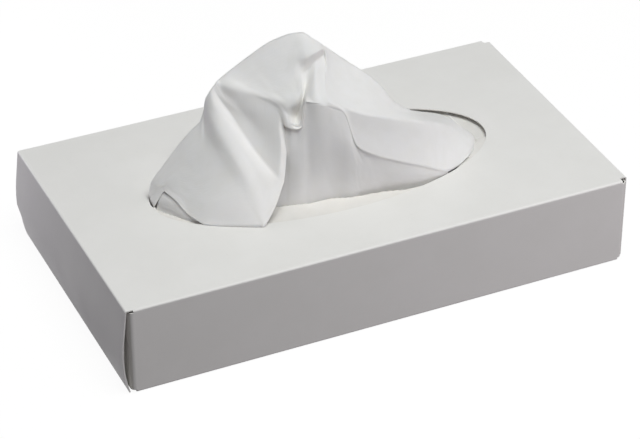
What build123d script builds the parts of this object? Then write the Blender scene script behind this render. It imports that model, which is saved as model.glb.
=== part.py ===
"""Flat carton of interfolded facial tissues, with its top sheet drawn up through the oval opening.

The origin is at the middle of the carton's underside, sprung end flap included. +X runs along the carton,
its long front panel faces -Y and +Z is up. All lengths are in millimetres.
"""
from build123d import *
import os

# Carton
carton_length = 211.0
carton_width = 120.0
carton_height = 37.5
board = 0.5
fold_radius = 0.8

# Opening in the top panel
opening_length = 143.0
opening_width = 66.0

# Glue flap, folded up from the bottom panel behind the back panel
glue_flap_height = 12.5
back_edge_clearance = 0.3

# End flaps
sleeve_overlap = 2.0
dust_flap_length = 36.0
dust_flap_inset = 1.2
dust_fold_radius = 2.0
inner_flap_height = 24.0
inner_flap_inset = 6.0
outer_flap_inset = 0.5
flat_flap_inset = 2.5
outer_flap_foot = 0.4
outer_flap_turn = 84.5
outer_flap_bow = 1.9
outer_flap_bow_height = 16.0
outer_flap_tuck = 16.0
outer_flap_press = 0.15
relief_width = 4.0
relief_height = 9.0
relief_slant = 3.5

# Stack of interfolded sheets, sized by the room it leaves in the carton
stack_end_clearance = 4.5
stack_side_clearance = 7.0
stack_headroom = 1.6
stack_fold_bulge = 1.5

# Sheet drawn up through the opening
sheet_thickness = 0.4
sheet_rise = 59.0
sheet_reach = 44.0
lay_clearance = 0.05

# One overrun serves all cuts
overrun = 5.0

# Where the raised sheet runs, one row for each place along the opening. The first number is a share of
# half the opening's length, and the second, where the sheet leaves the stack behind the opening, is a
# share of half the opening's width. Then come the points it passes on its way over to its front edge: its
# back, crest, brow, fold, hip and edge, each with a share of half the opening's width and a share of the
# height, where 1 is the top of the sheet, 0 lies on the top panel and -1 lies on the stack.
sheet_row_shares = [
    (-0.935, 0.29, (0.29, 0.035), (0.28, 0.10), (0.24, 0.085), (0.20, 0.065), (0.15, 0.045), (0.09, 0.03)),
    (-0.81, 0.42, (0.39, 0.14), (0.25, 0.31), (0.13, 0.265), (-0.03, 0.205), (-0.30, 0.115), (-0.61, 0)),
    (-0.68, 0.45, (0.42, 0.25), (0.20, 0.49), (0.06, 0.44), (-0.14, 0.36), (-0.44, 0.21), (-0.77, 0)),
    (-0.60, 0.48, (0.45, 0.34), (0.26, 0.665), (0.10, 0.585), (-0.14, 0.465), (-0.52, 0.25), (-0.87, 0)),
    (-0.52, 0.50, (0.47, 0.39), (0.32, 0.74), (0.14, 0.63), (-0.12, 0.475), (-0.52, 0.27), (-0.91, 0.012)),
    (-0.435, 0.51, (0.48, 0.42), (0.35, 0.79), (0.13, 0.675), (-0.11, 0.52), (-0.47, 0.31), (-0.80, 0.11)),
    (-0.365, 0.52, (0.49, 0.45), (0.36, 0.83), (0.12, 0.70), (-0.13, 0.58), (-0.43, 0.40), (-0.69, 0.19)),
    (-0.295, 0.53, (0.50, 0.47), (0.36, 0.87), (0.11, 0.73), (-0.16, 0.62), (-0.42, 0.52), (-0.57, -1)),
    (-0.125, 0.55, (0.51, 0.48), (0.34, 0.94), (0.10, 0.80), (-0.20, 0.68), (-0.46, 0.60), (-0.63, -1)),
    (0.055, 0.57, (0.51, 0.42), (0.26, 0.84), (0.02, 0.735), (-0.29, 0.63), (-0.56, 0.56), (-0.71, -1)),
    (0.195, 0.58, (0.51, 0.33), (0.15, 0.69), (-0.08, 0.62), (-0.34, 0.56), (-0.60, 0.49), (-0.77, -1)),
    (0.365, 0.59, (0.48, 0.20), (-0.08, 0.48), (-0.22, 0.465), (-0.39, 0.44), (-0.57, 0.40), (-0.82, -1)),
    (0.505, 0.60, (0.48, 0.10), (-0.04, 0.32), (-0.17, 0.325), (-0.32, 0.325), (-0.48, 0.30), (-0.82, -1)),
    (0.645, 0.60, (0.50, 0.04), (0.17, 0.15), (0.03, 0.18), (-0.15, 0.195), (-0.36, 0.165), (-0.73, -1)),
    (0.81, 0.42, (0.40, -0.3), (0.33, 0.02), (0.15, 0.055), (-0.07, 0.065), (-0.32, 0.045), (-0.52, -1)),
    (0.925, 0.25, (0.24, -0.6), (0.19, -0.3), (0.09, 0.005), (-0.03, 0.012), (-0.16, 0), (-0.24, -1)),
]


def folded_board(path, width, plane):
    """A strip of board that follows a path in a plane, centred on that plane."""
    strip = trace(path, line_width=board)
    return extrude(plane * strip, amount=width / 2, both=True)


def sleeve():
    """The four long panels and the glue flap, as one strip bent round the carton's length."""
    half = board / 2
    back = carton_width / 2 - half
    bend = fold_radius - half
    panels = FilletPolyline(
        (0, half),
        (-back, half),
        (-back, carton_height - half),
        (back, carton_height - half),
        (back, back_edge_clearance),
        radius=bend,
    )
    inside = back - board
    glue_flap = FilletPolyline((0, half), (inside, half), (inside, glue_flap_height), radius=bend)
    length = carton_length - 2 * (2 * board + dust_fold_radius)
    return folded_board(panels, length, Plane.YZ) + folded_board(glue_flap, length, Plane.YZ)


def end_start():
    """Where the strips of the end flaps start, inside the sleeve."""
    return carton_length / 2 - 2 * board - dust_fold_radius - sleeve_overlap


def dust_flaps():
    """The two short flaps of the +X end, folded in from the front and the back panel."""
    face = carton_length / 2 - 2 * board - board / 2
    side = carton_width / 2 - board / 2
    front = FilletPolyline(
        (end_start(), -side),
        (face, -side),
        (face, dust_flap_length - carton_width / 2),
        radius=dust_fold_radius - board / 2,
    )
    middle = Plane.XY.offset(carton_height / 2)
    flap = folded_board(front, carton_height - 2 * dust_flap_inset, middle)
    return flap + mirror(flap, about=Plane.XZ)


def inner_flap():
    """The flap of the +X end that is folded up from the bottom panel."""
    face = carton_length / 2 - board - board / 2
    strip = FilletPolyline(
        (end_start(), board / 2),
        (face, board / 2),
        (face, inner_flap_height),
        radius=fold_radius - board / 2,
    )
    return folded_board(strip, carton_width - 2 * inner_flap_inset, Plane.XZ)


def flat_flap_path():
    """The path of an outer flap that is glued down flat."""
    face = carton_length / 2 - board / 2
    top = carton_height - board / 2
    return FilletPolyline(
        (end_start(), top),
        (face, top),
        (face, outer_flap_foot),
        radius=fold_radius - board / 2,
    )


def sprung_flap_path():
    """The path of an outer flap that bows out above its glued edge."""
    face = carton_length / 2 - board / 2
    top = carton_height - board / 2
    bend = fold_radius - board / 2
    fold = Line((end_start(), top), (face - bend, top))
    corner = JernArc(fold @ 1, fold % 1, bend, -outer_flap_turn)
    tuck = Vector(0, -1).rotate(Axis.Z, -outer_flap_tuck)
    bow = Spline(
        corner @ 1,
        (face + outer_flap_bow, outer_flap_bow_height),
        (face - outer_flap_press, outer_flap_foot),
        tangents=[corner % 1, tuck],
    )
    return fold + corner + bow


def outer_flap(path, inset):
    """The flap of the +X end that is folded down from the top panel along the path."""
    return folded_board(path, carton_width - 2 * inset, Plane.XZ) - outer_flap_relief(inset)


def outer_flap_relief(inset):
    """What is cut from the lower back corner of the outer flap of the +X end."""
    side = carton_width / 2 - inset
    slant_top = relief_height + relief_slant
    outline = Polyline(
        (side - relief_width, 0),
        (side - relief_width, relief_height),
        (side, slant_top),
        (side + overrun, slant_top),
        (side + overrun, 0),
        close=True,
    )
    return extrude(Plane.YZ.offset(carton_length / 2) * make_face(outline), amount=overrun, both=True)


def carton():
    """The folded and glued blank, with the oval opening cut through its top panel and its -X flap sprung."""
    tucked = dust_flaps() + inner_flap()
    flat_end = tucked + outer_flap(flat_flap_path(), flat_flap_inset)
    sprung_end = tucked + outer_flap(sprung_flap_path(), outer_flap_inset)
    shell = sleeve() + flat_end + mirror(sprung_end, about=Plane.YZ)
    oval = Pos(0, 0, carton_height) * Ellipse(opening_length / 2, opening_width / 2)
    return shell - extrude(oval, amount=overrun, both=True)


def stack_crown():
    """The height of the top of the stack."""
    return carton_height - board - stack_headroom


def tissue_stack():
    """The interfolded sheets, with their folds along both long sides."""
    side = carton_width / 2 - board - stack_side_clearance
    fold = side - stack_fold_bulge
    base = board
    crown = stack_crown()
    middle = (base + crown) / 2
    section = [
        Line((-fold, base), (fold, base)),
        ThreePointArc((fold, base), (side, middle), (fold, crown)),
        Line((fold, crown), (-fold, crown)),
        ThreePointArc((-fold, crown), (-side, middle), (-fold, base)),
    ]
    length = carton_length - 2 * (2 * board + stack_end_clearance)
    return extrude(Plane.YZ * make_face(section), amount=length / 2, both=True)


def sheet_level(up_share):
    """The height of the middle of the raised sheet for a share of the height."""
    lift = lay_clearance + sheet_thickness / 2
    on_panel = carton_height + lift
    if up_share < 0:
        return on_panel + up_share * (on_panel - stack_crown() - lift)
    return on_panel + up_share * sheet_rise


def sheet_path(foot_share, over_shares):
    """The points in the YZ plane that the middle of the raised sheet passes, from its hidden end on."""
    half = opening_width / 2
    path = [Vector(sheet_reach, sheet_level(-1)), Vector(foot_share * half, sheet_level(-1))]
    for across_share, up_share in over_shares:
        path.append(Vector(across_share * half, sheet_level(up_share)))
    return path


def sheet_outline(path):
    """Both faces of a thin sheet whose middle follows the path, mitred at its folds."""
    runs = [(end - start).normalized() for start, end in zip(path, path[1:])]
    outside = []
    inside = []
    for point, before, after in zip(path, runs[:1] + runs, runs + runs[-1:]):
        across = Vector(-before.Y - after.Y, before.X + after.X)
        shift = across * (sheet_thickness / 2 / (1 + before.dot(after)))
        outside.append(point + shift)
        inside.append(point - shift)
    return outside + inside[::-1]


def sheet_section(row):
    """The raised sheet's thin section at one place along the opening."""
    along_share, foot_share, *over_shares = row
    outline = Polyline(*sheet_outline(sheet_path(foot_share, over_shares)), close=True)
    return Plane.YZ.offset(along_share * opening_length / 2) * make_face(outline)


def popup_tissue():
    """The top sheet: it lies on the stack behind the opening, rises over a crest and falls forward."""
    return loft([sheet_section(row) for row in sheet_row_shares], ruled=True)


def main():
    os.makedirs("parts", exist_ok=True)
    centred = Pos(outer_flap_bow / 2, 0, 0)
    export_step(centred * carton(), "parts/carton.step")
    export_step(centred * tissue_stack(), "parts/tissue_stack.step")
    export_step(centred * popup_tissue(), "parts/popup_tissue.step")


main()
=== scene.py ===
"""White tissue box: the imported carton, its soft stack of sheets and the sheet drawn up through its opening.

Lengths are in millimetres, except those of the lamps, the floor and the materials, which are in metres.
Pixel places are in the photograph's frame of 640 by 439.
"""

import math

import bmesh
import bpy
import numpy as np
from mathutils import Matrix, Vector, noise


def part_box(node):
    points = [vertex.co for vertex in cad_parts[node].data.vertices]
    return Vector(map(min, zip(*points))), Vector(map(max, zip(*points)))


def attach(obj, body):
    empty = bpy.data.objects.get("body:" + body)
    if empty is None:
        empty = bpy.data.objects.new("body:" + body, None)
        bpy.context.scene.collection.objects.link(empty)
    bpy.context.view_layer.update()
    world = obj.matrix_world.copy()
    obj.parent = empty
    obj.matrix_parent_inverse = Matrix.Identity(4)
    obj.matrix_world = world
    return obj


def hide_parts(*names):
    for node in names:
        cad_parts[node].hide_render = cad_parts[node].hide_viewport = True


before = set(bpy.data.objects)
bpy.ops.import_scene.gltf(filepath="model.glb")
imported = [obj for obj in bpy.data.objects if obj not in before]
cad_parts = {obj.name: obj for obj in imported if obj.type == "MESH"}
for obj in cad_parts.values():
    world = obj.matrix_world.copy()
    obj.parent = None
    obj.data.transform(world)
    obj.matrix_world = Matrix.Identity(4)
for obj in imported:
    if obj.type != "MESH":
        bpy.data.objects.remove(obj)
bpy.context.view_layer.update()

mm = 0.001

# Photograph and camera
photo_width = 640
photo_height = 439
camera_azimuth = math.radians(-24.62)
camera_elevation = math.radians(34.23)
camera_distance = 1035.34
camera_aim = Vector((0.0, 0.0, 18.75))
camera_right = -0.28
camera_up = -6.01
focal_px = 2597.67
sensor_width = 36.0
nearest_seen = 50.0

# Light of the room, and the white that is seen behind the object
room_colour = (1.0, 0.95, 0.99, 1)
room_strength = 0.19
pure_white = (1, 1, 1, 1)
white_strength = 1.0
# Lamps: where each one hangs, what it faces, how wide it is, its watts and its colour
lamps = {
    "key": ((0.08, -0.30, 1.06), (0, 0, 0.03), 0.7, 7.85, (0.98, 1.0, 0.97)),
    "right_fill": ((0.27, -0.41, 0.08), (0.05, -0.05, 0.02), 0.15, 0.42, (1.0, 0.92, 0.96)),
    "left_fill": ((-0.2, 0.25, 0.04), (-0.1, 0, 0.02), 0.06, 0.24, (0.99, 0.95, 1.03)),
}

# Floor
floor_reach = 6.0
floor_drop = 0.0002
floor_glow = 0.94
floor_colour = (0.04, 0.038, 0.04)
floor_seen_colour = (0.08, 0.08, 0.08)

# Board: its two whites, its flecks, its worn folds and its grey back
board_white = (0.82, 0.82, 0.807)
board_pale = (0.845, 0.845, 0.835)
board_fleck = (0.76, 0.755, 0.74)
board_worn = (0.865, 0.865, 0.858)
board_back = (0.70, 0.69, 0.66)
fleck_share = 0.35
worn_share = 0.55
worn_reach = (0.0006, 0.0022)
worn_sway = 0.0008
back_start_shares = (0.6, 0.9)
board_roughness = (0.50, 0.66)
board_specular = 0.35

# Tissue: its thick and its thin tone, on the raised sheet and, darker as painted shade, on the stack
sheet_tones = ((0.97, 0.95, 0.92), (0.945, 0.925, 0.89))
stack_shaded_tones = ((0.81, 0.80, 0.78), (0.78, 0.77, 0.75))
tissue_roughness = (0.86, 0.98)
tissue_finish = {
    "Specular IOR Level": 0.15,
    "Sheen Weight": 0.06,
    "Sheen Roughness": 0.6,
    "Subsurface Weight": 1.0,
    "Subsurface Radius": (1.0, 0.97, 0.92),
    "Subsurface Scale": 0.0003,
}

# Textures: the scale, the detail and the roughness of each
board_cloud = (45.0, 4.0, 0.55)
board_speckle = (900.0, 2.0, 0.55)
board_fibre = (1600.0, 3.0, 0.55)
tissue_crepe = (1500.0, 3.0, 0.6)
tissue_cloud = (160.0, 4.0, 0.6)
tissue_dots = (2600.0, 2.0, 0.55)
# How far fibres and crepe lines are drawn out
fibre_stretch = (0.25, 1.0, 1.0)
crepe_stretch = (0.22, 1.0, 1.0)
# The part of a texture's range that is used
cloud_span = (0.3, 0.7)
fleck_span = (0.62, 0.78)
roughness_span = (0.2, 0.8)
# Relief of the textures: its strength and its height
board_cloud_relief = (0.25, 0.0004)
board_fibre_relief = (0.10, 0.0001)
crepe_relief = (0.22, 0.00025)
dots_relief = (0.10, 0.0001)

# Carton and stack, as packed
carton_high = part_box("carton")[1] / mm
stack_low, stack_high = (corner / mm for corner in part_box("tissue_stack"))
carton_middle = (stack_low.x + stack_high.x) / 2
carton_length = 211.0
panel_top = carton_high.z
opening_length = 143.0
opening_width = 66.0
board = 0.5

# Stack: the folds along its long sides, and the leaf that swells up in the opening with a gap behind it
side_folds = 14
points_in_fold = 4
fold_depth = 0.6
fold_rounding = 1.5
fold_sway = 0.5
fold_sway_spacing = 30.0
fold_sway_turns = 3.0
fold_sway_seed = 7.0
stack_sink = 0.12
puff_level = 36.85
puff_half_length = 84.0
puff_fade = 10.0
puff_lap = 1.4
puff_edge = 1.8
gap_lap = 0.4
gap_edge = 1.2
gap_reach = 9.0
gap_fade = 4.0
ripple_height = 0.10
ripple_spacing = (26.0, 9.0)
ripple_seed = 0.3
rings_along_stack = 200
steps_across_stack = 150

# Raised sheet
sheet_thickness = 0.16
steps_between_columns = 8
steps_between_points = 8
point_names = ("crest", "brow", "upper", "middle", "ridge", "lip", "edge")
# Its hidden back: how far it lies on the stack, where its foot stands and how it leans on its way up
tail_end = 40.0
lie_shift = 2.0
foot_share = 0.58
foot_room_least_share = 0.05
foot_behind_crest = 1.5
foot_lift_share = 0.02
rise_least = 0.2
lean_share = 0.35
lean_height_share = 0.5
# The layer behind its front
wall_foot = 31.6
wall_creases = (0, 0, 0)
wall_steps_down = 14
wall_steps_across = 8

# Wrinkles: how high they are, how far apart along the sheet and down it, and the seeds of their noise
broad_wrinkle = 0.25
broad_spacing = (13.0, 17.0)
crease_wrinkle = 0.08
crease_spacing = (11.0, 15.0)
crease_narrowness = 2
crease_sharpness = 4
crease_seed = 5
fine_wrinkle = 0.07
fine_spacing = (3.5, 4.5)
fine_seed = 9
sheet_seed = 1.0
wall_seed = 2.0

# Least lengths to divide by
least_chord = 1e-6
least_normal = 1e-9

# The raised sheet's front, one row for each fold or bulge from its left end to its right end. Each point is
# a pixel across, a pixel down and the y of the frame at which the sheet stands there, or what it lies on. A
# row runs from the crest over the brow, the upper part, the middle, the ridge and the lip to the free edge.
sheet_front_px = [
    (
        (150.5, 184, 6.4), (149.6, 188, 6.2), (149.3, 192, 5.8), (149.6, 196, 5),
        (150.5, 200, 3.8), (152, 204, 2.4), (154, 207.5, 0.6),
    ),
    (
        (152, 181, 6.5), (154.5, 183, 5.2), (157, 185, 4), (159, 186.7, 3),
        (161, 188.3, 2.2), (162.6, 189.7, 1.4), (164, 191, 0.6),
    ),
    (
        (168, 158.5, 7), (168.7, 165, 5.2), (169.5, 172, 3.2), (170.2, 179, 1.1),
        (171, 185.5, -0.8), (172.3, 192, -2.8), (174, 199, -5.2),
    ),
    (
        (185.5, 135.5, 7.6), (186, 149, 4), (186.6, 163, 0.3), (187.2, 177, -3.5),
        (187.6, 190, -6.9), (188, 202, -10.2), (188, 214.5, -13.3),
    ),
    (
        (199.6, 121.3, 7.6), (200.4, 138, 3), (201.4, 154, -1.4), (202.4, 171, -6.1),
        (203.4, 189, -11), (204, 207, -16.1), (204.4, 225.3, "panel"),
    ),
    (
        (203, 112, 8.2), (204.6, 124, 5.4), (208, 138, 0.6), (216, 154, -5.6),
        (228, 173, -13), (242, 196.5, -21.6), (255, 227.2, "panel"),
    ),
    (
        (206, 98, 8.8), (209.5, 112, 4.6), (216, 128, -0.9), (227, 147, -7.6),
        (240, 168, -15.2), (254, 195, -23), (264.5, 227.2, "panel"),
    ),
    (
        (209.5, 91.5, 9), (214, 103, 5.4), (222, 117.5, 1), (233.5, 135.5, -5),
        (248, 157, -12.2), (263, 182, -20.2), (275, 208, -27.5),
    ),
    (
        (212.5, 86.5, 9.6), (219, 98, 7), (229, 111.5, 3.6), (243, 133, -3.5),
        (261, 158.5, -12.4), (278.6, 178.2, -20.6), (284, 182, -22),
    ),
    (
        (214.3, 84.3, 10), (223, 97.5, 6.4), (235.5, 109.5, 2.4), (249.5, 123, -2.6),
        (265, 139.5, -9.4), (281.3, 151, -16.2), (286, 152.5, -15.4),
    ),
    (
        (215.8, 82.3, 10.4), (224, 93.5, 7), (236, 102, 3.4), (250, 108.5, -1),
        (264, 114, -5), (279.3, 121, -9.8), (284, 125, -11),
    ),
    (
        (218, 80, 11.5), (228, 87, 6.8), (240, 91.5, 3.9), (253, 96, 0.5),
        (265.5, 101.5, -3.1), (278.2, 110, -7.6), (286, 127.4, -12.8),
    ),
    (
        (228, 71.5, 12.5), (238, 79.5, 8.6), (251, 87, 4), (265, 94.5, -1.3),
        (277.5, 102.5, -6.4), (284.5, 113, -9.8), (288.8, 128.8, -14),
    ),
    (
        (248, 56, 13.2), (256, 68, 8.9), (267, 80, 3.4), (279, 92.5, -3),
        (288.5, 105, -9.2), (290, 116, -10.8), (293.4, 129.2, -15.4),
    ),
    (
        (272, 40.3, 13.2), (277, 54, 8.9), (285, 70, 3), (293, 86, -3.2),
        (298.5, 100, -9.2), (296, 116, -8.2), (298.6, 128.8, -16.4),
    ),
    (
        (289, 33.4, 12.6), (292.5, 46, 8.4), (297, 59, 3.5), (300.5, 73, 0),
        (302.5, 93, -7.5), (301, 112, -10.6), (302.3, 127, -16.4),
    ),
    (
        (303, 31.8, 11.4), (304.5, 46, 6), (305.5, 58, 1.6), (306.3, 71, 0.8),
        (306, 84, -3.6), (305.5, 95, -9.5), (306, 102, -14.5),
    ),
    (
        (316, 40, 9), (316.5, 46, 5.6), (317, 51.5, 2.2), (316, 61, 1.9),
        (315, 80, -6.4), (316, 98.5, -15), (317, 103.5, -17),
    ),
    (
        (324, 45.5, 8.4), (324, 47.5, 6.8), (324, 49.5, 5.2), (323.5, 55.5, 5),
        (322, 79, -5.5), (322.5, 101, -16.2), (323.5, 104.9, -17.7),
    ),
    (
        (332, 51, 7.8), (331, 63, 3), (330, 74, -2), (329, 86, -8),
        (328.5, 97, -14.4), (329, 103.3, -17.6), (330, 106.7, -18.4),
    ),
    (
        (346, 60, 6), (344, 73, 0.4), (342.5, 86, -6), (341.5, 97.5, -12),
        (341, 105.5, -16.8), (342, 109, -18.5), (343.5, 112.5, -19.3),
    ),
    (
        (357, 67, 4), (355.5, 79, -1.8), (354, 91, -8), (352.3, 101.5, -13.5),
        (350.8, 110.3, -18.6), (350.2, 120, -20), (350.6, 130, -21.8),
    ),
    (
        (367, 73.5, 1), (366.7, 84.5, -4.4), (366, 95.5, -9.9), (364.7, 105, -14.6),
        (363.5, 113.9, -19.6), (361.5, 130, -21.7), (358, 147.5, -24.3),
    ),
    (
        (376.5, 81.5, -1.6), (378, 92, -6.8), (379.3, 101, -11.3), (380, 109.3, -15.8),
        (380.5, 117, -20), (378, 136, -22.6), (374, 155.3, -25.9),
    ),
    (
        (391.4, 99, -6.6), (394.4, 104, -9.4), (397, 109.3, -12.4), (399.3, 114.3, -16.2),
        (401, 119.3, -19.6), (400.5, 140, -23), (399.5, 162.4, -26.9),
    ),
    (
        (404.3, 107, -5.6), (409, 110.3, -8.8), (413.5, 113.8, -12), (417.7, 117.5, -15.2),
        (421, 121.3, -18.5), (422.5, 143.5, -22.7), (424, 167.2, -27.2),
    ),
    (
        (424, 112.4, 19.6), (429, 114.8, 13), (434, 118, 5.6), (438, 121.3, -4),
        (441, 125, -13), (444.5, 147, -19.4), (447.5, 172, -26),
    ),
    (
        (443, 115.2, 14.6), (448.5, 119, 9), (453, 122.8, 3.4), (457, 127.6, -2),
        (460, 133.5, -7.2), (462, 147, -14.8), (459, 165.5, -22.5),
    ),
    (
        (460, 127, 4), (464.5, 129.5, -0.3), (468, 133.5, -4.2), (470.5, 139, -8.5),
        (470.8, 144, -11.6), (470.5, 149, -14.5), (467.5, 157.5, -19),
    ),
    (
        (466, 131, 0.7), (470, 132.8, -1.3), (473, 135, -3.4), (475, 139.5, -6.8),
        (475.3, 144.5, -10.1), (474, 150, -13.4), (470.5, 157, -17.3),
    ),
]
# How sharply each of those rows is creased, from 0 for a soft bend to 1 for a fold
column_crease_shares = [
    *(0, 0.6, 0, 0, 0.2, 0, 0, 0.1, 0.95, 0, 0, 0, 0, 0, 0, 0.6),
    *(0.3, 0.1, 0.1, 0, 0, 0, 0, 0, 0, 0.9, 0, 0, 0, 0),
]
# How sharply each of them is folded at its points: all along the crest, and where the others have a fold
crest_crease_share = 0.9
fold_crease_shares = {
    "upper": {16: 0.7, 17: 0.9, 18: 0.9},
    "middle": {16: 0.7, 17: 0.9, 18: 0.9},
    "ridge": {19: 0.3, 20: 0.6, 21: 0.85, 22: 0.9, 23: 0.9, 24: 0.8, 25: 0.7, 26: 0.4},
    "lip": {8: 0.9, 9: 0.95, 10: 0.95},
}
# Where the crest and the free edge turn a corner
crest_corner_shares = {4: 0.95, 8: 0.7, 11: 0.5, 16: 0.7}
edge_corner_shares = {1: 0.9, 4: 0.8, 6: 0.95, 8: 0.9, 10: 0.9, 11: 0.7, 15: 0.9, 16: 0.9, 26: 0.8}

# The layer of the sheet behind it, from left to right: its top, its middle, the pixel where it meets the
# stack in front of it, and how far behind that edge it goes down
wall_px = [
    ((166, 189, 1.4), (160, 198, 0.8), (154.5, 207.5), 0.4),
    ((176, 196, -4.4), (172.5, 204, -5.1), (170, 213), 0.3),
    ((190, 210, -12.2), (188.5, 215.6, -13), (187.5, 218.8), 0.1),
    ((198, 217, -15.6), (197, 219.2, -15.6), (196, 220.4), 0.2),
    ((206, 211, -14.6), (205, 216, -15), (204, 219), 0.6),
    ((220, 185, -9), (219, 202, -13.5), (218, 217), 0.8),
    ((236, 150, -5), (234, 185, -12), (232, 214), 0.8),
    ((262, 125, -3), (258, 168, -10), (256, 211), 0.8),
    ((286, 118, -10.2), (286, 148, -14.8), (284, 205), 0.8),
    ((291, 124, -13.4), (291, 146, -16.2), (290, 204.5), 0.7),
    ((298, 124, -14.8), (298, 146, -17.4), (297, 204), 0.6),
    ((306, 102.2, -14.2), (308, 134, -17.8), (310, 202), 0.6),
    ((317, 103.4, -16.8), (320, 132, -19.9), (322, 199.6), 0.8),
    ((330, 106.5, -18.2), (333, 133, -21.1), (338.7, 196.5), 0.6),
    ((343.5, 112.2, -19.1), (348, 142, -23), (355, 195.7), 1.2),
    ((350.8, 130, -21.6), (357, 158, -24.4), (362, 194.4), 1.8),
    ((358.4, 147.3, -24), (366, 167, -25.2), (371, 192.7), 2.4),
    ((374, 155, -25.5), (382, 170, -25.9), (388, 190.1), 3.2),
    ((399.5, 162, -26.5), (405, 174, -26.8), (411, 187.1), 3.2),
    ((424, 166.8, -26.9), (427, 174, -27.1), (430, 182), 1.8),
    ((446, 170.5, -25.6), (448, 172.5, -25.8), (450, 174.5), 0.6),
]
# Where the stack's swollen front leaf ends behind, as pixels, and how deep the gap behind it is
slit_px = [
    ((150, 203), 0.0),
    ((160, 210), 1.2),
    ((184, 218), 1.6),
    ((204, 219), 2.0),
    ((230, 214), 2.0),
    ((256, 211), 2.0),
    ((280, 205.5), 2.0),
    ((309, 202.6), 2.0),
    ((330, 197.5), 2.0),
    ((353, 196), 2.2),
    ((383, 190.5), 2.4),
    ((404.6, 188.6), 2.6),
    ((427, 183), 2.6),
    ((446, 176.5), 1.6),
    ((456, 169), 0.0),
    ((464, 158), 0.0),
    ((471, 146), 0.0),
    ((478, 138), 0.0),
]


def camera_axes():
    """The camera's back, right and up directions."""
    level = math.cos(camera_elevation)
    east = math.sin(camera_azimuth) * level
    north = -math.cos(camera_azimuth) * level
    back = Vector((east, north, math.sin(camera_elevation)))
    right = Vector((0, 0, 1)).cross(back).normalized()
    return back, right, back.cross(right)


def camera_place():
    """Where the camera stands."""
    back, right, up = camera_axes()
    aim = camera_aim + Vector((carton_middle, 0, 0))
    return aim + camera_distance * back + camera_right * right + camera_up * up


def line_of_sight(across, down):
    """The direction in which the camera sees a pixel of the photograph."""
    back, right, up = camera_axes()
    return ((across - photo_width / 2) * right - (down - photo_height / 2) * up) / focal_px - back


def seen_at_depth(across, down, depth):
    """The point at that pixel whose y is the depth."""
    start = camera_place()
    ray = line_of_sight(across, down)
    return start + ray * ((depth - start.y) / ray.y)


def seen_at_level(across, down, level):
    """The point at that pixel whose z is the level."""
    start = camera_place()
    ray = line_of_sight(across, down)
    return start + ray * ((level - start.z) / ray.z)


def sheet_point(across, down, depth):
    """A point of the raised sheet, at a depth or lying on the top panel."""
    if depth == "panel":
        return seen_at_level(across, down, panel_top + sheet_thickness / 2)
    return seen_at_depth(across, down, depth)


def add_camera():
    """The camera of the photograph."""
    back, right, up = camera_axes()
    lens = bpy.data.cameras.new("camera")
    lens.sensor_width = sensor_width
    lens.lens = focal_px / photo_width * sensor_width
    lens.clip_start = nearest_seen * mm
    camera = bpy.data.objects.new("camera", lens)
    turn = Matrix((right, up, back)).transposed().to_4x4()
    camera.matrix_world = Matrix.Translation(camera_place() * mm) @ turn
    bpy.context.scene.collection.objects.link(camera)
    bpy.context.scene.camera = camera


def add_node(tree, kind, **settings):
    """A new node with its settings."""
    node = tree.nodes.new(kind)
    for key, value in settings.items():
        setattr(node, key, value)
    return node


def math_node(tree, operation, first, second=None):
    """The result of one operation on values or sockets."""
    node = add_node(tree, "ShaderNodeMath", operation=operation)
    for socket, value in zip(node.inputs, (first, second)):
        if isinstance(value, bpy.types.NodeSocket):
            tree.links.new(value, socket)
        elif value is not None:
            socket.default_value = value
    return node.outputs[0]


def ramp_node(tree, value, span, ends):
    """A value mapped smoothly from a span to two ends."""
    node = add_node(tree, "ShaderNodeMapRange", interpolation_type="SMOOTHSTEP")
    tree.links.new(value, node.inputs["Value"])
    for key, number in zip(("From Min", "From Max", "To Min", "To Max"), (*span, *ends)):
        node.inputs[key].default_value = number
    return node.outputs["Result"]


def noise_node(tree, place, texture):
    """A texture of noise with its scale, detail and roughness."""
    node = add_node(tree, "ShaderNodeTexNoise")
    for key, number in zip(("Scale", "Detail", "Roughness"), texture):
        node.inputs[key].default_value = number
    tree.links.new(place, node.inputs["Vector"])
    return node.outputs["Fac"]


def blend_node(tree, factor, first, second):
    """Two colours mixed by a factor."""
    node = add_node(tree, "ShaderNodeMix", data_type="RGBA")
    tree.links.new(factor, node.inputs["Factor"])
    for socket, colour in ((node.inputs["A"], first), (node.inputs["B"], second)):
        if isinstance(colour, bpy.types.NodeSocket):
            tree.links.new(colour, socket)
        else:
            socket.default_value = (*colour, 1)
    return node.outputs["Result"]


def bump_node(tree, height, relief, below=None):
    """Relief of a strength and height, on top of the relief below it."""
    node = add_node(tree, "ShaderNodeBump")
    for key, number in zip(("Strength", "Distance"), relief):
        node.inputs[key].default_value = number
    tree.links.new(height, node.inputs["Height"])
    if below is not None:
        tree.links.new(below, node.inputs["Normal"])
    return node.outputs["Normal"]


def scaled_place(tree, place, scale):
    """A place scaled along each axis."""
    node = add_node(tree, "ShaderNodeVectorMath", operation="MULTIPLY")
    tree.links.new(place, node.inputs[0])
    node.inputs[1].default_value = scale
    return node.outputs["Vector"]


def seen_directly(tree):
    """Is Camera, Glossy or Transmission Ray, as one value."""
    path = add_node(tree, "ShaderNodeLightPath").outputs
    first = math_node(tree, "MAXIMUM", path["Is Camera Ray"], path["Is Glossy Ray"])
    return math_node(tree, "MAXIMUM", first, path["Is Transmission Ray"])


def background(tree, colour, strength):
    """An even light from all around."""
    node = add_node(tree, "ShaderNodeBackground")
    node.inputs["Color"].default_value = colour
    node.inputs["Strength"].default_value = strength
    return node.outputs[0]


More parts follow.
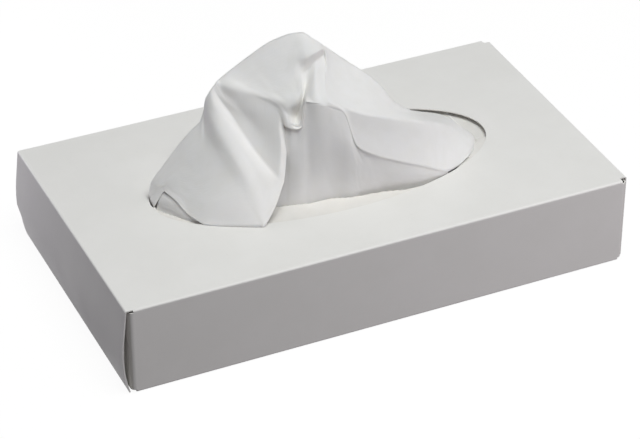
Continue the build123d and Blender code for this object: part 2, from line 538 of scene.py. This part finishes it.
def add_room():
    """The light of the room, and a white background where it is seen directly."""
    world = bpy.data.worlds.new("room")
    bpy.context.scene.world = world
    world.use_nodes = True
    tree = world.node_tree
    tree.nodes.clear()
    mix = add_node(tree, "ShaderNodeMixShader")
    tree.links.new(seen_directly(tree), mix.inputs["Fac"])
    tree.links.new(background(tree, room_colour, room_strength), mix.inputs[1])
    tree.links.new(background(tree, pure_white, white_strength), mix.inputs[2])
    tree.links.new(mix.outputs[0], add_node(tree, "ShaderNodeOutputWorld").inputs["Surface"])


def add_light(name, place, aim, size, power, colour):
    """A round lamp that faces its aim."""
    lamp = bpy.data.lights.new(name, "AREA")
    lamp.shape = "DISK"
    lamp.size = size
    lamp.energy = power
    lamp.color = colour
    light = bpy.data.objects.new(name, lamp)
    facing = (Vector(aim) - Vector(place)).to_track_quat("-Z", "Y")
    light.matrix_world = Matrix.Translation(place) @ facing.to_matrix().to_4x4()
    light.visible_camera = False
    bpy.context.scene.collection.objects.link(light)


def floor_material():
    """A floor that is white where it is seen directly, and keeps the shadow of the object."""
    material = bpy.data.materials.new("pale_floor")
    material.use_nodes = True
    tree = material.node_tree
    tree.nodes.clear()
    direct = seen_directly(tree)
    diffuse = add_node(tree, "ShaderNodeBsdfDiffuse")
    tree.links.new(blend_node(tree, direct, floor_colour, floor_seen_colour), diffuse.inputs["Color"])
    glow = add_node(tree, "ShaderNodeEmission")
    glow.inputs["Color"].default_value = pure_white
    tree.links.new(math_node(tree, "MULTIPLY", direct, floor_glow), glow.inputs["Strength"])
    both = add_node(tree, "ShaderNodeAddShader")
    tree.links.new(diffuse.outputs[0], both.inputs[0])
    tree.links.new(glow.outputs[0], both.inputs[1])
    tree.links.new(both.outputs[0], add_node(tree, "ShaderNodeOutputMaterial").inputs["Surface"])
    return material


def add_floor():
    """The floor that the carton stands on."""
    mesh = bpy.data.meshes.new("floor")
    corners = [(x * floor_reach, y * floor_reach, 0) for x, y in ((-1, -1), (1, -1), (1, 1), (-1, 1))]
    mesh.from_pydata(corners, [], [(0, 1, 2, 3)])
    floor = bpy.data.objects.new("floor", mesh)
    floor.location.z = -floor_drop
    bpy.context.scene.collection.objects.link(floor)
    mesh.materials.append(floor_material())


def new_material(name):
    """A material and its shader."""
    material = bpy.data.materials.new(name)
    material.use_nodes = True
    return material, material.node_tree.nodes["Principled BSDF"]


def board_depths(tree, place):
    """How far a point of the carton lies behind the nearest face, and how far from the nearest fold."""
    parts = add_node(tree, "ShaderNodeSeparateXYZ")
    tree.links.new(place, parts.inputs[0])
    x, y, z = parts.outputs
    along = math_node(tree, "SUBTRACT", x, carton_middle * mm)
    beside_x = math_node(tree, "SUBTRACT", carton_length / 2 * mm, math_node(tree, "ABSOLUTE", along))
    beside_y = math_node(tree, "SUBTRACT", carton_high.y * mm, math_node(tree, "ABSOLUTE", y))
    beside_z = math_node(tree, "MINIMUM", z, math_node(tree, "SUBTRACT", panel_top * mm, z))
    nearest = math_node(tree, "MINIMUM", math_node(tree, "MINIMUM", beside_x, beside_y), beside_z)
    farthest = math_node(tree, "MAXIMUM", math_node(tree, "MAXIMUM", beside_x, beside_y), beside_z)
    total = math_node(tree, "ADD", math_node(tree, "ADD", beside_x, beside_y), beside_z)
    to_fold = math_node(tree, "SUBTRACT", math_node(tree, "SUBTRACT", total, nearest), farthest)
    return nearest, to_fold


def board_colour(tree, place, cloud):
    """The board's mottled and flecked white, its worn folds and the grey of its back."""
    depth, to_fold = board_depths(tree, place)
    mottled = blend_node(tree, ramp_node(tree, cloud, cloud_span, (0, 1)), board_white, board_pale)
    speckle = noise_node(tree, place, board_speckle)
    flecked = blend_node(tree, ramp_node(tree, speckle, fleck_span, (0, fleck_share)), mottled, board_fleck)
    frayed = math_node(tree, "ADD", to_fold, math_node(tree, "MULTIPLY", cloud, worn_sway))
    folded = blend_node(tree, ramp_node(tree, frayed, worn_reach, (worn_share, 0)), flecked, board_worn)
    back_start = [share * board * mm for share in back_start_shares]
    return blend_node(tree, ramp_node(tree, depth, back_start, (0, 1)), folded, board_back)


def board_material():
    """White coated board with faint mottling and fibres, worn folds and a grey back."""
    material, shader = new_material("coated_board")
    tree = material.node_tree
    place = add_node(tree, "ShaderNodeTexCoord").outputs["Object"]
    cloud = noise_node(tree, place, board_cloud)
    fibre = noise_node(tree, scaled_place(tree, place, fibre_stretch), board_fibre)
    tree.links.new(board_colour(tree, place, cloud), shader.inputs["Base Color"])
    tree.links.new(ramp_node(tree, cloud, roughness_span, board_roughness), shader.inputs["Roughness"])
    shader.inputs["Specular IOR Level"].default_value = board_specular
    coarse = bump_node(tree, cloud, board_cloud_relief)
    tree.links.new(bump_node(tree, fibre, board_fibre_relief, coarse), shader.inputs["Normal"])
    return material


def tissue_material(name, thick, thin):
    """Soft two-ply tissue: crepe lines across it, thick and thin clouds of fibre, light spread inside it."""
    material, shader = new_material(name)
    tree = material.node_tree
    place = add_node(tree, "ShaderNodeTexCoord").outputs["UV"]
    crepe = noise_node(tree, scaled_place(tree, place, crepe_stretch), tissue_crepe)
    cloud = noise_node(tree, place, tissue_cloud)
    dots = noise_node(tree, place, tissue_dots)
    tone = blend_node(tree, ramp_node(tree, cloud, cloud_span, (0, 1)), thin, thick)
    tree.links.new(tone, shader.inputs["Base Color"])
    tree.links.new(ramp_node(tree, cloud, roughness_span, tissue_roughness), shader.inputs["Roughness"])
    for key, value in tissue_finish.items():
        shader.inputs[key].default_value = value
    ribbed = bump_node(tree, crepe, crepe_relief)
    tree.links.new(bump_node(tree, dots, dots_relief, ribbed), shader.inputs["Normal"])
    return material


def cardinal(points, creases, steps):
    """A curve through points, or through rows of points: soft at a crease of 0 and folded at 1."""
    points = np.asarray(points, float)
    spans = np.diff(points, axis=0)
    chords = np.maximum(np.linalg.norm(spans, axis=-1, keepdims=True), least_chord)
    runs = spans / chords
    turns = (runs[:-1] * chords[1:] + runs[1:] * chords[:-1]) / (chords[1:] + chords[:-1])
    turns = np.concatenate((runs[:1], turns, runs[-1:]))
    sharp = np.asarray(creases, float)
    sharp = sharp.reshape(sharp.shape + (1,) * (points.ndim - sharp.ndim))
    out = []
    for i in range(len(points) - 1):
        leaving = chords[i] * (turns[i] * (1 - sharp[i]) + runs[i] * sharp[i])
        arriving = chords[i] * (turns[i + 1] * (1 - sharp[i + 1]) + runs[i] * sharp[i + 1])
        for t in np.linspace(0, 1, steps, endpoint=False):
            out.append(
                points[i] * (2 * t**3 - 3 * t**2 + 1)
                + leaving * (t**3 - 2 * t**2 + t)
                + points[i + 1] * (3 * t**2 - 2 * t**3)
                + arriving * (t**3 - t**2)
            )
    out.append(points[-1])
    return np.array(out)


def noise_at(u, v, spacing, seed):
    """Smooth noise between -1 and 1 at a place on a sheet."""
    return noise.noise(Vector((u / spacing[0], v / spacing[1], seed)))


def wrinkled(grid, seed):
    """A grid pushed in and out along its normals: broad dents, crisp creases and fine crumple."""
    along = np.gradient(grid, axis=0)
    down = np.gradient(grid, axis=1)
    normals = np.cross(along, down)
    normals /= np.maximum(np.linalg.norm(normals, axis=2, keepdims=True), least_normal)
    rows, columns = grid.shape[:2]
    u = np.cumsum(np.linalg.norm(along, axis=2).mean(axis=1))
    v = np.cumsum(np.linalg.norm(down, axis=2).mean(axis=0))
    push = np.zeros((rows, columns, 1))
    for i in range(rows):
        for j in range(columns):
            broad = noise_at(u[i], v[j], broad_spacing, seed)
            crease = 1 - abs(noise_at(u[i], v[j], crease_spacing, seed + crease_seed)) * crease_narrowness
            crisp = max(crease, 0) ** crease_sharpness
            fine = noise_at(u[i], v[j], fine_spacing, seed + fine_seed)
            push[i, j] = broad_wrinkle * broad + crease_wrinkle * crisp + fine_wrinkle * fine
    return grid + normals * push


def grid_mesh(name, grids):
    """A mesh object through grids of points in millimetres, with a UV map in metres along the grid."""
    corners = []
    faces = []
    flat = []
    for grid in grids:
        rows, columns = grid.shape[:2]
        first = len(corners)
        down = np.linalg.norm(np.diff(grid, axis=1), axis=2).mean(axis=0)
        across = np.linalg.norm(np.diff(grid, axis=0), axis=2).mean(axis=1)
        v = np.concatenate(([0], np.cumsum(down)))
        u = np.concatenate(([0], np.cumsum(across)))
        corners.extend((grid.reshape(-1, 3) * mm).tolist())
        for i in range(rows):
            flat.extend((u[i] * mm, v[j] * mm) for j in range(columns))
        for i in range(rows - 1):
            for j in range(columns - 1):
                a = first + i * columns + j
                faces.append((a, a + 1, a + columns + 1, a + columns))
    mesh = bpy.data.meshes.new(name)
    mesh.from_pydata(corners, [], faces)
    layer = mesh.uv_layers.new(name="sheet")
    for loop in mesh.loops:
        layer.data[loop.index].uv = flat[loop.vertex_index]
    mesh.shade_smooth()
    piece = bpy.data.objects.new(name, mesh)
    bpy.context.scene.collection.objects.link(piece)
    return piece


def back_points(crest):
    """The back of the sheet below a crest point, down to the stack and along it."""
    x, y, z = crest
    level = stack_high.z + sheet_thickness
    along = (x - carton_middle) / (opening_length / 2)
    foot = foot_share * opening_width / 2 * math.sqrt(max(foot_room_least_share, 1 - along**2))
    foot = max(foot, y + foot_behind_crest)
    rise = max(z - level, rise_least)
    return [
        (x, tail_end, level),
        (x, (tail_end + foot) / 2 + lie_shift, level),
        (x, foot, level + foot_lift_share * rise),
        (x, foot - lean_share * (foot - y), level + lean_height_share * rise),
    ]


def raised_grid():
    """The raised sheet as a grid: its back, hidden behind the crest, and its folded front."""
    front = np.array([[sheet_point(*point) for point in row] for row in sheet_front_px])
    cage = np.array([[*back_points(column[0]), *column] for column in front])
    edge = cage.shape[1] - 1
    crest = edge + 1 - len(point_names)
    folds = np.zeros((edge + 1, len(cage)))
    folds[crest] = crest_crease_share
    for name, shares in fold_crease_shares.items():
        for column, share in shares.items():
            folds[crest + point_names.index(name), column] = share
    down = cardinal(cage.transpose(1, 0, 2), folds, steps_between_points)
    corners = np.array(column_crease_shares, float)[:, None] * np.ones(len(down))
    rows = np.arange(len(down)) / steps_between_points
    near_crest = np.interp(rows, [crest, crest + 1], [1, 0])
    near_edge = np.interp(rows, [edge - 1, edge], [0, 1])
    for shares, nearness in ((crest_corner_shares, near_crest), (edge_corner_shares, near_edge)):
        for column, share in shares.items():
            corners[column] = np.maximum(corners[column], share * nearness)
    return cardinal(down.transpose(1, 0, 2), corners, steps_between_columns)


def wall_grid():
    """The layer behind the front as a grid, from its top down into the gap of the stack."""
    columns = []
    for top, middle, foot, gap in wall_px:
        end = seen_at_level(*foot, puff_level) + Vector((0, gap, 0))
        end.z = wall_foot
        columns.append([seen_at_depth(*top), seen_at_depth(*middle), end])
    cage = np.array(columns)
    down = cardinal(cage.transpose(1, 0, 2), wall_creases, wall_steps_down)
    return cardinal(down.transpose(1, 0, 2), np.zeros(len(cage)), wall_steps_across)


def thicken(piece, thickness):
    """Give a thin mesh the thickness of its plies."""
    solid = piece.modifiers.new("two_plies", "SOLIDIFY")
    solid.thickness = thickness * mm
    solid.offset = 0.0
    solid.use_even_offset = False


def raised_sheet():
    """The sheet drawn up through the opening, with the layer behind its front."""
    grids = [wrinkled(raised_grid(), sheet_seed), wrinkled(wall_grid(), wall_seed)]
    piece = grid_mesh("popup_sheet", grids)
    thicken(piece, sheet_thickness)
    return piece


def smooth(share):
    """A share from 0 to 1, eased at both ends."""
    share = min(max(share, 0), 1)
    return share * share * (3 - 2 * share)


def slit_line():
    """The back edge of the swollen front leaf: x, y and the depth of the gap behind it."""
    rows = [(*seen_at_level(*pixel, puff_level).xy, depth) for pixel, depth in slit_px]
    return np.array(rows).T


def stack_top(x, y, slit):
    """The height of the stack's top: a swollen leaf at the front of the opening, with a gap behind it."""
    edge = np.interp(x, slit[0], slit[1])
    depth = np.interp(x, slit[0], slit[2], left=0, right=0)
    inside = smooth((puff_half_length - abs(x - carton_middle)) / puff_fade)
    swell = (puff_level - stack_high.z) * inside * smooth((edge + puff_lap - y) / puff_edge)
    gap = depth * smooth((y - edge + gap_lap) / gap_edge) * smooth((edge + gap_reach - y) / gap_fade)
    ripple = ripple_height * noise_at(x, y, ripple_spacing, ripple_seed)
    return stack_high.z - stack_sink + swell - gap + ripple


def stack_side(x):
    """The folds at the front of the stack at one place along it, from the bottom up."""
    low = stack_low.z
    high = stack_high.z - stack_sink
    steps = side_folds * points_in_fold
    points = []
    for i in range(steps + 1):
        share = i / steps
        bulge = abs(math.sin(math.pi * share * side_folds))
        sway_place = Vector((x / fold_sway_spacing, fold_sway_turns * share, fold_sway_seed))
        sway = fold_sway * noise.noise(sway_place)
        inset = fold_rounding * (2 * share - 1) ** 2 + fold_depth * (1 - bulge) + max(0, sway)
        points.append((x, -stack_high.y + inset, low + share * (high - low)))
    return points


def stack_section(x, slit):
    """One loop round the stack: the front folds, the top and the back folds."""
    front = stack_side(x)
    start = front[-1][1]
    top = []
    for i in range(1, steps_across_stack):
        y = start - 2 * start * i / steps_across_stack
        top.append((x, y, stack_top(x, y, slit)))
    back = [(x, -y, z) for x, y, z in reversed(front)]
    return [*front, *top, *back]


def soft_stack():
    """The pack of interfolded sheets, with its folds along both long sides, its bottom and its cut ends."""
    slit = slit_line()
    length = stack_high.x - stack_low.x
    places = [stack_low.x + length * i / rings_along_stack for i in range(rings_along_stack + 1)]
    loops = np.array([stack_section(x, slit) for x in places])
    piece = grid_mesh("soft_stack", [loops])
    mesh = bmesh.new()
    mesh.from_mesh(piece.data)
    corners = list(mesh.verts)
    count = loops.shape[1]
    rings = [corners[start : start + count] for start in range(0, len(corners), count)]
    for ring, following in zip(rings, rings[1:]):
        mesh.faces.new((ring[0], following[0], following[-1], ring[-1]))
    mesh.faces.new(rings[0])
    mesh.faces.new(rings[-1][::-1])
    bmesh.ops.recalc_face_normals(mesh, faces=mesh.faces)
    mesh.to_mesh(piece.data)
    mesh.free()
    return piece


def main():
    """Camera, floor, light, the carton's look and the two soft pieces."""
    add_camera()
    add_floor()
    add_room()
    for name, values in lamps.items():
        add_light(name, *values)
    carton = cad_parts["carton"]
    carton.data.materials.clear()
    carton.data.materials.append(board_material())
    tissue = tissue_material("tissue", *sheet_tones)
    # The stack's tissue is the sheet's tissue made darker: painted shade for the stack inside the carton
    folded = tissue_material("stack_tissue_painted_shade", *stack_shaded_tones)
    sheet = raised_sheet()
    stack = soft_stack()
    looks = ((sheet, "popup_tissue", "tissue", tissue), (stack, "tissue_stack", "stack", folded))
    for piece, node, slot, look in looks:
        piece.data.materials.append(look)
        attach(piece, "root")
        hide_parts(node)
    bpy.context.scene.view_settings.view_transform = "Standard"


main()
